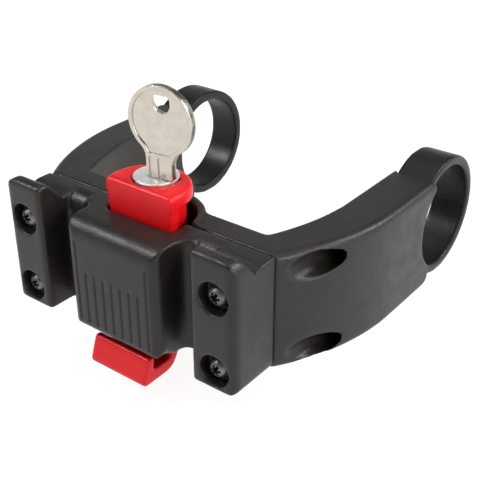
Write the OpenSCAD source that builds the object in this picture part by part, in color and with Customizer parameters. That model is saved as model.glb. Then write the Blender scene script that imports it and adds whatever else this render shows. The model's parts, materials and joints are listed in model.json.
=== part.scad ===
// Handlebar bag adapter: a quick-release catch for a bag, carried on two arms that clamp a handlebar.
// X runs along the handlebar, Y points back to the rider and Z up. The origin is the middle of the
// handlebar's axis. All sizes are in millimetres.

/* [Handlebar clamp] */
// Diameter of the handlebar that the two straps close on
bar_d = 31.8; // [25.4:0.1:34]
// Thickness of a clamp strap
strap_t = 3; // [2.2:0.1:3.4]
// Width of a clamp strap along the handlebar
strap_w = 11.6; // [9:0.2:14]
// Distance between the middles of the two straps
strap_spacing = 92.6; // [88:0.2:100]
// Length of the strap's two ends inside the arm, from the handlebar's axis
lug_reach = 26; // [24:0.5:30]
// Height of the strap's ends
lug_h = 6.4; // [5.8:0.1:7]

/* [Clamp screws] */
// Nominal diameter of the clamp screws
clamp_screw_d = 4; // [3:0.1:4.2]
// Head diameter of the clamp screws
clamp_head_d = 7; // [6:0.1:7.4]
// Head height of the clamp screws
clamp_head_h = 4; // [3:0.1:5]
// Length of the clamp screws under the head
clamp_screw_len = 20; // [17:0.5:22]
// Hexagon socket of the clamp screws, across its flats
clamp_socket_af = 3; // [2.5:0.1:3.2]
// Height of the upper clamp screws above the handlebar's axis
clamp_upper_z = 10.5; // [9:0.1:10.8]
// Height of the lower clamp screws, counted from the same axis
clamp_lower_z = -15.5; // [-15.6:0.1:-15]
// Outer diameter of the brass inserts in the strap ends
insert_d = 5.2; // [4.9:0.1:5.4]
// Length of the brass inserts
insert_len = 7; // [5:0.5:8]

/* [Arm bracket] */
// Distance from the handlebar's axis to the joint face with the front housing
reach = 73.3; // [68:0.1:80]
// Thickness of the bridge between the two arms
bridge_t = 8; // [7:0.1:10]
// Thickness of the arm's side walls beside the strap
arm_wall = 1.15; // [0.9:0.05:1.8]
// Height of the flat top face above the handlebar's axis
top_z = 15.6; // [15.2:0.1:17]
// Height of the arms' bottom face, counted from the same axis
arm_bottom_z = -19.5; // [-21:0.1:-19.3]
// Distance from the handlebar's axis to the arms' end faces
arm_end = 9.75; // [9:0.05:10.4]
// Length of the arms' straight outer side, from the handlebar's axis
outer_straight = 33.5; // [30:0.5:38]
// Length of the arms' straight inner side, from the handlebar's axis
inner_straight = 36; // [32:0.5:40]
// Distance between the inner corners where the arms leave the bridge
root_gap = 64.8; // [60:0.2:68]
// Rounding of the arms' outer long edges
arm_edge_r = 2.2; // [1:0.1:2.6]
// Rounding of the arms' lower end corners
arm_corner_r = 4; // [2:0.1:5]
// Distance from the handlebar's axis to the seats of the clamp screws' heads
screw_seat = 38.5; // [37:0.1:40]

/* [Button well] */
// Radius of the well behind the release button
well_r = 13.2; // [13:0.1:14]
// Wall of the collar around the well
collar_wall = 2.5; // [2.2:0.1:3.2]
// Height of the collar's rim above the flat top face
collar_rise = 0.5; // [0.2:0.1:1]
// Distance of the well's centre in front of the joint face
well_forward = 2; // [1.5:0.1:2.5]
// Depth of the well below the flat top face
well_depth = 29.6; // [29:0.1:31]

/* [Front housing] */
// Width of the front housing
housing_w = 82.1; // [78:0.1:90]
// Thickness of the housing's plate
plate_t = 6.7; // [6.5:0.1:8]
// Height of the plate's bottom edge, counted from the handlebar's axis
housing_bottom_z = -18.8; // [-19.4:0.1:-18]
// Width of a side flange
flange_w = 14.2; // [13.4:0.1:15]
// Depth of a side flange in front of the plate
flange_depth = 10.3; // [9:0.1:12]
// Height of a flange's ridge above the flat top face
flange_rise = 4.9; // [3:0.1:6]
// Rounding of a flange's upper outer corner
flange_corner_r = 4.5; // [2:0.1:5]
// Rounding of a flange's outer front edge
flange_edge_r = 2.75; // [1:0.05:3.5]
// Depth of the valley behind a flange's ridge, below the flat top face
valley_drop = 1.2; // [0.6:0.1:2]

/* [Catch block] */
// Width of the catch block
block_w = 32.8; // [30:0.1:34]
// Depth of the catch block in front of the plate
block_depth = 11.2; // [10.6:0.1:13]
// Rounding of the block's upper front edge
block_top_r = 5; // [2:0.1:5.5]
// Rounding of the block's upright front edges
block_edge_r = 3; // [1:0.1:3.4]
// Rounding of the block's lower front edge
block_bottom_r = 2.6; // [1:0.1:3]
// Rounding at the root of the two rail channels
channel_r = 3.4; // [1:0.1:4]
// Rounding of the channels' upper lead-in
lead_in_r = 4.6; // [2:0.1:5]
// Distance between two grip grooves
groove_pitch = 3.2; // [2.6:0.1:3.4]
// Width of a grip groove
groove_w = 0.7; // [0.4:0.05:1]
// Depth of a grip groove
groove_depth = 0.5; // [0.3:0.05:0.8]
// Wall of the hollow catch block
block_wall = 2.6; // [2:0.1:3]

/* [Flange screws] */
// Nominal diameter of the flange screws
flange_screw_d = 4; // [3:0.1:4.4]
// Head diameter of the flange screws
flange_head_d = 7.5; // [6.5:0.1:8]
// Head height of the flange screws
flange_head_h = 2.6; // [2:0.1:3]
// Diameter of the round recess around a flange screw's head
recess_d = 9.2; // [8.6:0.1:9.8]
// Depth of that recess
recess_depth = 4.2; // [3.4:0.1:5]
// Distance between the left and the right flange screws
flange_screw_gap = 68.3; // [67:0.1:69]
// Height of the upper flange screws
flange_upper_z = 8.8; // [7:0.1:10]
// Height of the lower flange screws
flange_lower_z = -13; // [-13.4:0.1:-11]
// Length of thread that a flange screw has in the bracket
flange_screw_bite = 6; // [4:0.1:6.5]

/* [Release button] */
// Width of the button's front wall
button_w = 23.2; // [22:0.1:23.6]
// Thickness of the button's front wall
button_t = 4; // [3.4:0.1:4.4]
// Radius of the button's head
head_r = 12.7; // [12.2:0.1:12.8]
// Thickness of the button's head
head_t = 3.2; // [2.6:0.1:3.6]
// Height of the button's top above the flat top face
button_rise = 8.4; // [8.3:0.1:10]
// Rounding of the button's upper edges
button_edge_r = 1.5; // [0.5:0.1:1.6]
// Travel of the button when it is pressed
press_travel = 5; // [3:0.1:5]
// Width of the hook
hook_w = 21; // [18:0.2:22]
// Depth of the hook's mouth from the button's front wall to the lip
hook_mouth = 8; // [6:0.1:9]
// Drop of the hook's floor below the housing
hook_drop = 6.4; // [5.6:0.1:8]
// Thickness of the hook's lip
lip_t = 2.6; // [2:0.1:3]
// Thickness of the hook's floor
hook_floor_t = 4.8; // [3:0.1:5.2]

/* [Lock] */
// Distance of the lock's axis behind the joint face
lock_back = 1.9; // [1.7:0.1:2.1]
// Diameter of the lock's face
lock_face_d = 13.6; // [13.4:0.1:14]
// Thickness of the lock's face flange
lock_face_t = 0.7; // [0.5:0.1:1]
// Diameter of the lock's barrel
barrel_d = 12.6; // [12.2:0.1:12.8]
// Diameter of the turning plug
plug_d = 10; // [9.8:0.1:10.2]
// Length of the barrel under its face
barrel_len = 21.6; // [21:0.1:22]
// Wall of the button's sleeve round the barrel
sleeve_wall = 1.6; // [1.2:0.1:1.7]
// Length of the cam from the lock's axis to its tip
cam_len = 10.4; // [9:0.1:10.5]
// Thickness of the cam
cam_t = 1.6; // [1:0.1:1.8]
// Width of the cam
cam_w = 6.4; // [5.6:0.1:6.8]
// Turn of the keyway against the handlebar's axis
keyway_turn = 8.7; // [0:0.1:20]

/* [Key] */
// Diameter of the key's bow
bow_d = 20.2; // [16:0.2:24]
// Height of the bow's middle above the lock's face
bow_rise = 17; // [15:0.1:20]
// Thickness of the key
key_t = 1.8; // [1.4:0.1:2]
// Width of the key's neck
neck_w = 8.3; // [7:0.1:9]
// Width of the key's blade
blade_w = 4.9; // [4:0.1:5.2]
// Length of the key's blade inside the lock
blade_len = 17.7; // [15:0.1:18]

/* [Spring] */
// Outer diameter of the return spring
spring_d = 7.6; // [7:0.1:8]
// Wire diameter of the return spring
wire_d = 0.7; // [0.5:0.05:0.7]
// Number of turns of the return spring
spring_turns = 4; // [3:1:4]

/* [Hidden] */
$fn = 96;
// Clearance between pieces that don't move on each other
seat_gap = 0.05;
// Radial clearance of the turning plug
run_gap = 0.05;
// Clearance round the sliding button
slide_gap = 0.3;
// Clearance of a strap in its arm
strap_gap = 0.15;
// Clearance round a screw's shank or head
screw_gap = 0.2;
// Length by which a cutter runs past the face that it opens
past = 1;
// Distance by which a rounding cutter's circle stands proud, so that it crosses both faces at an angle
proud = 0.02;

bar_r = bar_d / 2;
strap_r = bar_r + strap_t;
strap_x = strap_spacing / 2;
arm_half = strap_w / 2 + strap_gap + arm_wall;
arm_outer_x = strap_x + arm_half;
arm_inner_x = strap_x - arm_half;
arm_h = top_z - arm_bottom_z;
seam_y = -reach;
bridge_back_y = seam_y + bridge_t;
outer_run = reach - outer_straight;
outer_in = arm_outer_x - housing_w / 2;
outer_arc_r = (outer_in * outer_in + outer_run * outer_run) / (2 * outer_in);
inner_run = -bridge_back_y - inner_straight;
inner_in = arm_inner_x - root_gap / 2;
inner_arc_r = (inner_in * inner_in + inner_run * inner_run) / (2 * inner_in);

well_y = seam_y - well_forward;
well_floor_z = top_z - well_depth;
collar_r = well_r + collar_wall;
collar_bottom_z = well_floor_z - 3;

plate_y = seam_y - plate_t;
flange_y = plate_y - flange_depth;
flange_in_x = housing_w / 2 - flange_w;
ridge_z = top_z + flange_rise;
ridge_w = 3.6;
ridge_r = 1.7;
block_y = plate_y - block_depth;
block_bottom_z = housing_bottom_z + 0.3;
channel_mid_x = (block_w / 2 + flange_in_x) / 2;
valley_y = plate_y - 1.4;
groove_foot_z = block_bottom_z + 3;
groove_h = 15.8;
outer_groove_h = 25;

flange_seat_y = flange_y + recess_depth;
flange_screw_x = flange_screw_gap / 2;

button_front_y = plate_y + slide_gap * 2;
button_back_y = button_front_y + button_t;
button_top_z = top_z + button_rise;
button_corner_r = 1.6;
slot_w = button_w + 2 * slide_gap;
slot_front_y = button_front_y - slide_gap;
hook_top_z = housing_bottom_z - 1.2;
hook_floor_z = housing_bottom_z - hook_drop;
hook_bottom_z = hook_floor_z - hook_floor_t;
stop_t = 2;
stop_w = 8;
shelf_t = 2;
shelf_w = 12;

lock_y = seam_y + lock_back;
barrel_r = barrel_d / 2;
plug_r = plug_d / 2;
barrel_top_z = button_top_z;
lock_face_z = barrel_top_z + lock_face_t;
barrel_bottom_z = barrel_top_z - barrel_len;
plug_face_r = lock_face_d / 2 - 0.8;
plug_face_t = 1;
plug_bottom_z = barrel_bottom_z - 0.4;
tang_w = 4.6;
cam_top_z = plug_bottom_z - seat_gap;
cam_bottom_z = cam_top_z - cam_t;
cam_screw_r = 1.3;
cam_screw_head_r = 2.9;
cam_screw_head_h = 1.6;
sleeve_r = barrel_r + seat_gap + sleeve_wall;
clip_t = 0.8;
sleeve_bottom_z = barrel_bottom_z + 3.2;
clip_z = sleeve_bottom_z - seat_gap - clip_t;
clip_groove_r = barrel_r - 0.5;
groove_r = cam_len + slide_gap;
shelf_top_z = cam_bottom_z - cam_screw_head_h - 2.3;
shelf_bottom_z = shelf_top_z - shelf_t;
spring_y = lock_y + 1;
spring_h = shelf_bottom_z - well_floor_z - 2 * seat_gap;
spring_peg_r = spring_d / 2 - wire_d - 0.5;

key_side = -1;
blade_left = -1.9;
key_foot_z = lock_face_z + 0.15;
bow_z = lock_face_z + bow_rise;
bow_u = blade_left + neck_w / 2 + 0.85;
bow_hole_rise = 5;
keyway_gap = 0.1;
wafer_t = 1;
wafer_pitch = 3;
wafer_half_u = 3.9;
wafer_half_v = 1.9;
wafer_count = 5;

// Points of an arc of radius r that rounds the corner b between its neighbours a and c
function unit(v) = v / norm(v);
function corner_arc(a, b, c, r, n) =
    let (
        u = unit(a - b),
        w = unit(c - b),
        half = acos(u * w) / 2,
        centre = b + unit(u + w) * r / sin(half),
        first = b + u * r / tan(half) - centre,
        last = b + w * r / tan(half) - centre,
        from = atan2(first.y, first.x),
        sweep = (atan2(last.y, last.x) - from + 540) % 360 - 180
    )
    [for (i = [0:n]) centre + r * [cos(from + sweep * i / n), sin(from + sweep * i / n)]];
// Outline through corners given as [x, y, radius], with each corner rounded by its own radius
function rounded(corners, n = 6) =
    let (count = len(corners), at = [for (c = corners) [c[0], c[1]]])
    [for (i = [0:count - 1])
        each corners[i][2] > 0
            ? corner_arc(at[(i + count - 1) % count], at[i], at[(i + 1) % count], corners[i][2], n)
            : [at[i]]];
// Half an outline, given from front to back, joined with its mirror image across the YZ plane
function both_halves(half) =
    concat(half, [for (i = [len(half) - 1:-1:0]) [-half[i][0], half[i][1], half[i][2]]]);

// A profile drawn in Y and Z, extruded along X between two places
module along_x(x0, x1) {
    translate([x0, 0, 0]) rotate([90, 0, 90]) linear_extrude(x1 - x0) children();
}

// A profile drawn in X and Z, extruded along Y between two places
module along_y(y0, y1) {
    translate([0, y1, 0]) rotate([90, 0, 0]) linear_extrude(y1 - y0) children();
}

// A round bar along Y
module rod_y(x, z, r, y0, y1) {
    translate([x, y0, z]) rotate([-90, 0, 0]) cylinder(r = r, h = y1 - y0);
}

// A round bar along the handlebar's axis
module rod_x(r, x0, x1) {
    translate([x0, 0, 0]) rotate([0, 90, 0]) cylinder(r = r, h = x1 - x0);
}

// Children as drawn, and again mirrored to the left side
module both_sides() {
    children();
    mirror([1, 0, 0]) children();
}

// FRONT HOUSING

// Plan of the plate with its two flanges and the catch block
module housing_plan() {
    polygon(rounded(both_halves([
        [block_w / 2, block_y, block_edge_r],
        [block_w / 2, plate_y, channel_r],
        [flange_in_x, plate_y, 2],
        [flange_in_x, flange_y, 1.2],
        [housing_w / 2, flange_y, flange_edge_r],
        [housing_w / 2, seam_y, 0]
    ])));
}

// Side view of a flange, with its round ridge and the valley behind it
module flange_side() {
    polygon(rounded([
        [flange_y, housing_bottom_z, 1],
        [flange_y, ridge_z, ridge_r],
        [flange_y + ridge_w, ridge_z, ridge_r],
        [valley_y, top_z - valley_drop, 0.4],
        [plate_y + 1.5, top_z, 1],
        [seam_y, top_z, 0],
        [seam_y, housing_bottom_z, 0]
    ]));
}

// Front view of a flange, from the middle of the channel to the outer side
module flange_front() {
    polygon(rounded([
        [channel_mid_x, housing_bottom_z, 0],
        [housing_w / 2, housing_bottom_z, 2.5],
        [housing_w / 2, ridge_z, flange_corner_r],
        [flange_in_x, ridge_z, 1.2],
        [flange_in_x, top_z - lead_in_r, 0],
        [channel_mid_x, top_z - lead_in_r, 0]
    ]));
}

// Front view of the plate alone
module plate_front() {
    polygon(rounded([
        [-housing_w / 2, housing_bottom_z, 2.5],
        [housing_w / 2, housing_bottom_z, 2.5],
        [housing_w / 2, top_z, 1.6],
        [-housing_w / 2, top_z, 1.6]
    ]));
}

// Side view of the plate, whose upper front edge leads a rail into the channels
module plate_side() {
    polygon(rounded([
        [plate_y, housing_bottom_z, 0],
        [plate_y, top_z, lead_in_r],
        [seam_y, top_z, 0],
        [seam_y, housing_bottom_z, 0]
    ], 8));
}

// Side view of the catch block
module block_side() {
    polygon(rounded([
        [block_y, block_bottom_z, block_bottom_r],
        [block_y, top_z, block_top_r],
        [seam_y, top_z, 0],
        [seam_y, block_bottom_z, 0]
    ], 8));
}

module housing_blank() {
    intersection() {
        translate([0, 0, housing_bottom_z - past])
            linear_extrude(ridge_z - housing_bottom_z + 2 * past) housing_plan();
        union() {
            intersection() {
                along_x(-housing_w / 2 - past, housing_w / 2 + past) plate_side();
                along_y(plate_y - past, seam_y) plate_front();
            }
            along_x(-block_w / 2 - channel_r, block_w / 2 + channel_r) block_side();
            both_sides() intersection() {
                along_x(channel_mid_x, housing_w / 2 + past) flange_side();
                along_y(flange_y - past, seam_y) flange_front();
            }
        }
    }
}

// Slot that the release button's wall slides in, open at the back to the bracket's well
module button_slot() {
    translate([0, 0, housing_bottom_z - past])
        linear_extrude(top_z - housing_bottom_z + 2 * past)
            polygon(rounded(both_halves([
                [slot_w / 2, slot_front_y, button_corner_r],
                [slot_w / 2, seam_y + past, 0]
            ])));
}

// Three pockets that core the catch block out from below, with two ribs between them
module block_pockets() {
    rib = 1.4;
    inner_w = block_w - 2 * block_wall;
    pocket_w = (inner_w - 2 * rib) / 3;
    pocket_y0 = block_y + block_wall;
    pocket_y1 = slot_front_y - 2;
    for (i = [-1:1])
        translate([i * (pocket_w + rib) - pocket_w / 2, pocket_y0, block_bottom_z - past])
            cube([pocket_w, pocket_y1 - pocket_y0, top_z - block_top_r - block_bottom_z + past]);
}

// One upright groove in the block's front face, with round ends
module groove(x, h) {
    along_y(block_y - past, block_y + groove_depth)
        translate([x, groove_foot_z]) {
            translate([-groove_w / 2, 0]) square([groove_w, h]);
            circle(d = groove_w);
            translate([0, h]) circle(d = groove_w);
        }
}

module flange_screw_hole(x, z) {
    rod_y(x, z, recess_d / 2, flange_y - past, flange_seat_y);
    rod_y(x, z, flange_screw_d / 2 + screw_gap, flange_y, seam_y + past);
}

module front_housing() {
    color([0.17, 0.165, 0.16]) difference() {
        housing_blank();
        button_slot();
        block_pockets();
        for (i = [-3:3]) groove(i * groove_pitch, groove_h);
        for (side = [-1, 1]) groove(side * 4 * groove_pitch, outer_groove_h);
        for (side = [-1, 1], z = [flange_upper_z, flange_lower_z])
            flange_screw_hole(side * flange_screw_x, z);
    }
}

// ARM BRACKET

// Front view of an arm's outer side, with its two long edges rounded
module arm_section() {
    module edge() {
        difference() {
            square(arm_edge_r + past);
            translate([proud, proud]) circle(r = arm_edge_r);
        }
    }
    difference() {
        translate([0, arm_bottom_z]) square([outer_arc_r, arm_h]);
        translate([outer_arc_r - arm_edge_r, top_z - arm_edge_r]) edge();
        translate([outer_arc_r - arm_edge_r, arm_bottom_z + arm_edge_r]) mirror([0, 1]) edge();
    }
}

// Outside of the right arm: the section swept round the outer arc and along the straight
module arm_outside() {
    translate([arm_outer_x - outer_arc_r, 0, 0]) {
        translate([0, -outer_straight, 0]) rotate([0, 0, -90]) rotate_extrude(angle = 90, $fn = 360) arm_section();
        translate([0, -arm_end, 0]) rotate([90, 0, 0]) linear_extrude(outer_straight - arm_end) arm_section();
    }
}

// Room between the arms seen from above, as far as the right arm's inner arc and straight
module arm_inside() {
    intersection() {
        translate([arm_inner_x - inner_arc_r, -inner_straight]) circle(r = inner_arc_r, $fn = 360);
        translate([-past, bridge_back_y]) square([arm_inner_x + past, inner_run]);
    }
    translate([-past, -inner_straight]) square([arm_inner_x + past, inner_straight]);
}

// Seat of one strap in the right arm: the bore, the strap's slot and the pockets of its two ends
module strap_seat() {
    slot_x0 = strap_x - strap_w / 2 - strap_gap;
    slot_x1 = strap_x + strap_w / 2 + strap_gap;
    pocket_h = lug_h + 2 * strap_gap;
    rod_x(bar_r, arm_inner_x - past, arm_outer_x + past);
    for (z = [clamp_upper_z, clamp_lower_z]) {
        intersection() {
            rod_x(strap_r + strap_gap, slot_x0, slot_x1);
            translate([slot_x0, -strap_r - past, z > 0 ? z - pocket_h / 2 : -2 * strap_r])
                cube([slot_x1 - slot_x0, strap_r + past, z > 0 ? 2 * strap_r : z + pocket_h / 2 + 2 * strap_r]);
        }
        translate([slot_x0, -lug_reach - strap_gap, z - pocket_h / 2])
            cube([slot_x1 - slot_x0, lug_reach + strap_gap - bar_r / 2, pocket_h]);
    }
}

// Way in for one clamp screw, from the arm's outer curved face to the strap's end
module clamp_screw_hole(z) {
    rod_y(strap_x, z, clamp_head_d / 2 + screw_gap, seam_y - past, -screw_seat);
    rod_y(strap_x, z, clamp_screw_d / 2 + screw_gap, -screw_seat - past, -lug_reach + past);
}

module right_arm() {
    difference() {
        intersection() {
            arm_outside();
            along_x(0, arm_outer_x + past) polygon(rounded([
                [seam_y, arm_bottom_z, 0],
                [-arm_end, arm_bottom_z, arm_corner_r],
                [-arm_end, top_z, 0.4],
                [seam_y, top_z, 0]
            ], 8));
        }
        translate([0, 0, arm_bottom_z - past]) linear_extrude(arm_h + 2 * past) arm_inside();
        strap_seat();
        for (z = [clamp_upper_z, clamp_lower_z]) clamp_screw_hole(z);
    }
}

// Blind hole that a flange screw cuts its thread in
module flange_screw_bore(z) {
    rod_y(flange_screw_x, z, flange_screw_d / 2 + seat_gap, seam_y - past, seam_y + flange_screw_bite + 0.5);
}

module bridge() {
    translate([-root_gap / 2 - past, seam_y, arm_bottom_z]) cube([root_gap + 2 * past, bridge_t, arm_h]);
}

// Collar that bulges out behind the bridge round the button's well
module collar() {
    intersection() {
        translate([0, well_y, collar_bottom_z])
            cylinder(r = collar_r, h = top_z + collar_rise - collar_bottom_z);
        translate([-collar_r - past, seam_y, collar_bottom_z - past])
            cube([2 * (collar_r + past), 2 * collar_r, top_z + collar_rise - collar_bottom_z + 2 * past]);
    }
}

module well() {
    translate([0, well_y, well_floor_z]) cylinder(r = well_r, h = well_depth + collar_rise + past);
    translate([0, lock_y, cam_bottom_z - press_travel - slide_gap])
        cylinder(r = groove_r, h = cam_t + press_travel + 2 * slide_gap);
}

module arm_bracket() {
    color([0.18, 0.175, 0.17]) {
        difference() {
            union() {
                both_sides() right_arm();
                bridge();
                collar();
            }
            well();
            both_sides() for (z = [flange_upper_z, flange_lower_z]) flange_screw_bore(z);
        }
        translate([0, spring_y, well_floor_z - 0.5]) cylinder(r = spring_peg_r, h = 2);
    }
}

// CLAMP STRAPS AND SCREWS

// A band round the back of the handlebar, whose two ends run forward into the arm
module strap_shape() {
    inner_x = strap_x - strap_w / 2;
    difference() {
        union() {
            difference() {
                rod_x(strap_r, inner_x, inner_x + strap_w);
                translate([inner_x - past, -2 * strap_r, clamp_lower_z])
                    cube([strap_w + 2 * past, 2 * strap_r, clamp_upper_z - clamp_lower_z]);
            }
            for (z = [clamp_upper_z, clamp_lower_z]) intersection() {
                translate([inner_x, -lug_reach, z - lug_h / 2]) cube([strap_w, lug_reach, lug_h]);
                union() {
                    rod_x(strap_r, inner_x, inner_x + strap_w);
                    translate([inner_x, -lug_reach, z - lug_h / 2])
                        cube([strap_w, lug_reach - strap_r * 0.55, lug_h]);
                }
            }
        }
        rod_x(bar_r, inner_x - past, inner_x + strap_w + past);
        for (z = [clamp_upper_z, clamp_lower_z]) {
            rod_y(strap_x, z, insert_d / 2 + seat_gap, -lug_reach - past, -lug_reach + insert_len + 0.2);
            rod_y(strap_x, z, clamp_screw_d / 2 + screw_gap, -lug_reach, -lug_reach + insert_len + 1.5);
        }
    }
}

module strap_right() {
    color([0.15, 0.15, 0.15]) strap_shape();
}

module strap_left() {
    color([0.15, 0.15, 0.15]) mirror([1, 0, 0]) strap_shape();
}

// Cap screw with a hexagon socket, driven from the front
module clamp_screw(x, z) {
    color([0.35, 0.35, 0.36]) difference() {
        union() {
            rod_y(x, z, clamp_head_d / 2, -screw_seat - clamp_head_h, -screw_seat);
            rod_y(x, z, clamp_screw_d / 2, -screw_seat - seat_gap, -screw_seat + clamp_screw_len);
        }
        translate([x, -screw_seat - clamp_head_h + clamp_head_h / 2, z]) rotate([90, 0, 0])
            cylinder(d = clamp_socket_af / cos(30), h = clamp_head_h, $fn = 6);
    }
}

// Brass insert pressed into a strap's end
module clamp_insert(x, z) {
    color([0.72, 0.55, 0.3]) difference() {
        rod_y(x, z, insert_d / 2, -lug_reach + seat_gap, -lug_reach + insert_len);
        rod_y(x, z, clamp_screw_d / 2 + seat_gap, -lug_reach - past, -lug_reach + insert_len + past);
    }
}

// Thread-forming screw with a domed head and a six-lobed socket
module flange_screw(x, z) {
    dome_r = (flange_head_d * flange_head_d / 4 + flange_head_h * flange_head_h) / (2 * flange_head_h);
    head_y = flange_seat_y - seat_gap;
    color([0.2, 0.2, 0.21]) difference() {
        union() {
            intersection() {
                translate([x, head_y - flange_head_h + dome_r, z]) sphere(r = dome_r);
                rod_y(x, z, flange_head_d / 2, head_y - flange_head_h - past, head_y);
            }
            rod_y(x, z, flange_screw_d / 2, head_y - seat_gap, seam_y + flange_screw_bite);
        }
        translate([x, head_y - flange_head_h / 3, z]) rotate([90, 0, 0]) for (turn = [0, 60, 120])
            rotate([0, 0, turn]) {
                translate([-1.6, -0.45, 0]) cube([3.2, 0.9, flange_head_h]);
            }
    }
}

// RELEASE BUTTON

// Side view of the hook under the housing
module hook_side() {
    lip_y = button_front_y - hook_mouth;
    polygon(rounded([
        [button_back_y, hook_top_z + 3, 0],
        [button_back_y, hook_top_z - 2, 3],
        [button_back_y - 3.6, hook_bottom_z + 0.9, 5],
        [lip_y - lip_t - 2, hook_bottom_z + 0.7, 1.2],
        [lip_y - lip_t + 1, hook_top_z - 1, 0.8],
        [lip_y + 1, hook_top_z - 1, 0.8],
        [lip_y, hook_floor_z, 0.8],
        [button_front_y - 1, hook_floor_z, 1.6],
        [button_front_y, hook_floor_z + 2, 0.8],
        [button_front_y, hook_top_z + 3, 0]
    ]));
}

// Plan of the button's front wall
module button_wall_plan() {
    polygon(rounded(both_halves([
        [button_w / 2, button_front_y, button_corner_r - slide_gap],
        [button_w / 2, button_back_y, 0.5]
    ])));
}

// Half-round head with rounded upper edges
module button_head() {
    intersection() {
        translate([0, well_y, button_top_z - head_t]) rotate_extrude()
            difference() {
                square([head_r, head_t]);
                translate([head_r - button_edge_r, head_t - button_edge_r]) difference() {
                    square(button_edge_r + past);
                    circle(r = button_edge_r);
                }
            }
        along_x(-head_r, head_r) polygon(rounded([
            [button_front_y, button_top_z - head_t - past, 0],
            [button_front_y, button_top_z, button_edge_r],
            [well_y + head_r + past, button_top_z, 0],
            [well_y + head_r + past, button_top_z - head_t - past, 0]
        ], 8));
    }
}

module release_slider() {
    wall_top_z = button_top_z - button_edge_r;
    color([0.82, 0.1, 0.13]) difference() {
        union() {
            button_head();
            translate([0, 0, hook_top_z + 2]) linear_extrude(wall_top_z - hook_top_z - 2) button_wall_plan();
            along_x(-hook_w / 2, hook_w / 2) hook_side();
            translate([0, lock_y, sleeve_bottom_z])
                cylinder(r = sleeve_r, h = button_top_z - button_edge_r - sleeve_bottom_z);
            translate([-shelf_w / 2, button_back_y - past, shelf_bottom_z])
                cube([shelf_w, spring_y + spring_d / 2 - button_back_y + past, shelf_t]);
            translate([-stop_w / 2, button_back_y - past, arm_bottom_z - seat_gap * 2 - stop_t])
                cube([stop_w, seam_y + 2 - button_back_y + past, stop_t]);
        }
        translate([0, lock_y, plug_bottom_z - slide_gap])
            cylinder(r = barrel_r + seat_gap, h = button_top_z - plug_bottom_z + 2 * past);
    }
}

// Open coil spring between the well's floor and the button's shelf
module slider_spring() {
    sides = 8;
    steps = spring_turns * 20;
    coil_r = (spring_d - wire_d) / 2;
    rise = spring_h - wire_d;
    points = [for (i = [0:steps], j = [0:sides - 1])
        let (t = 360 * spring_turns * i / steps, a = 360 * j / sides, r = coil_r + wire_d / 2 * cos(a))
        [r * cos(t), r * sin(t), wire_d / 2 + rise * i / steps + wire_d / 2 * sin(a)]];
    walls = [for (i = [0:steps - 1], j = [0:sides - 1])
        let (a = i * sides + j, b = i * sides + (j + 1) % sides)
        [a, a + sides, b + sides, b]];
    color([0.6, 0.6, 0.62]) translate([0, spring_y, well_floor_z + seat_gap])
        polyhedron(points, concat(walls, [[for (j = [0:sides - 1]) j],
            [for (j = [sides - 1:-1:0]) steps * sides + j]]), convexity = 8);
}

// LOCK AND KEY

// Children placed in the lock's own frame: X along the keyway, Z up, origin on the lock's axis
module at_lock() {
    translate([0, lock_y, 0]) rotate([0, 0, keyway_turn]) children();
}

module lock_barrel() {
    bore_r = plug_r + run_gap;
    color([0.8, 0.8, 0.81]) translate([0, lock_y, 0]) difference() {
        union() {
            translate([0, 0, barrel_bottom_z]) cylinder(r = barrel_r, h = barrel_len + seat_gap);
            translate([0, 0, barrel_top_z + seat_gap])
                cylinder(d = lock_face_d, h = lock_face_t - seat_gap);
        }
        translate([0, 0, barrel_bottom_z - past]) cylinder(r = bore_r, h = barrel_len + 2 * past);
        translate([0, 0, lock_face_z - plug_face_t]) cylinder(r = plug_face_r + run_gap, h = plug_face_t + past);
        translate([0, 0, clip_z - seat_gap]) difference() {
            cylinder(r = barrel_r + past, h = clip_t + 2 * seat_gap);
            translate([0, 0, -past]) cylinder(r = clip_groove_r, h = clip_t + 3 * past);
        }
    }
}

// Horseshoe clip that holds the barrel up in the button's sleeve, open towards the front wall
module barrel_clip() {
    clip_r = barrel_r + 1.2;
    color([0.55, 0.55, 0.57]) translate([0, lock_y, clip_z]) difference() {
        cylinder(r = clip_r, h = clip_t);
        translate([0, 0, -past]) cylinder(r = clip_groove_r + seat_gap, h = clip_t + 2 * past);
        translate([-clip_r, button_back_y + slide_gap - lock_y - clip_r, -past])
            cube([2 * clip_r, clip_r, clip_t + 2 * past]);
    }
}

// Keyway or blade section, grown by a clearance, between two heights of the lock's own frame
module blade_box(gap, z0, z1) {
    translate([blade_left - gap, key_side - key_t / 2 - gap, z0])
        cube([blade_w + 2 * gap, key_t + 2 * gap, z1 - z0]);
}

function wafer_z(i) = lock_face_z - 4.5 - i * wafer_pitch;

module lock_plug() {
    color([0.84, 0.84, 0.85]) at_lock() difference() {
        union() {
            translate([0, 0, plug_bottom_z]) cylinder(r = plug_r, h = lock_face_z - plug_face_t - plug_bottom_z + 0.1);
            translate([0, 0, lock_face_z - plug_face_t + run_gap])
                cylinder(r = plug_face_r, h = plug_face_t - 2 * run_gap);
            rotate([0, 0, -keyway_turn]) translate([-tang_w / 2, -tang_w / 2, cam_bottom_z + seat_gap])
                cube([tang_w, tang_w, cam_t + 0.5]);
        }
        blade_box(keyway_gap, lock_face_z - blade_len - 0.5, lock_face_z + past);
        for (i = [0:wafer_count - 1])
            translate([-plug_r - past, key_side - wafer_half_v - seat_gap, wafer_z(i) - seat_gap])
                cube([2 * (plug_r + past), 2 * (wafer_half_v + seat_gap), wafer_t + 2 * seat_gap]);
        translate([0, 0, cam_bottom_z - past]) cylinder(r = cam_screw_r + seat_gap, h = cam_t + 4.3);
    }
}

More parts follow.
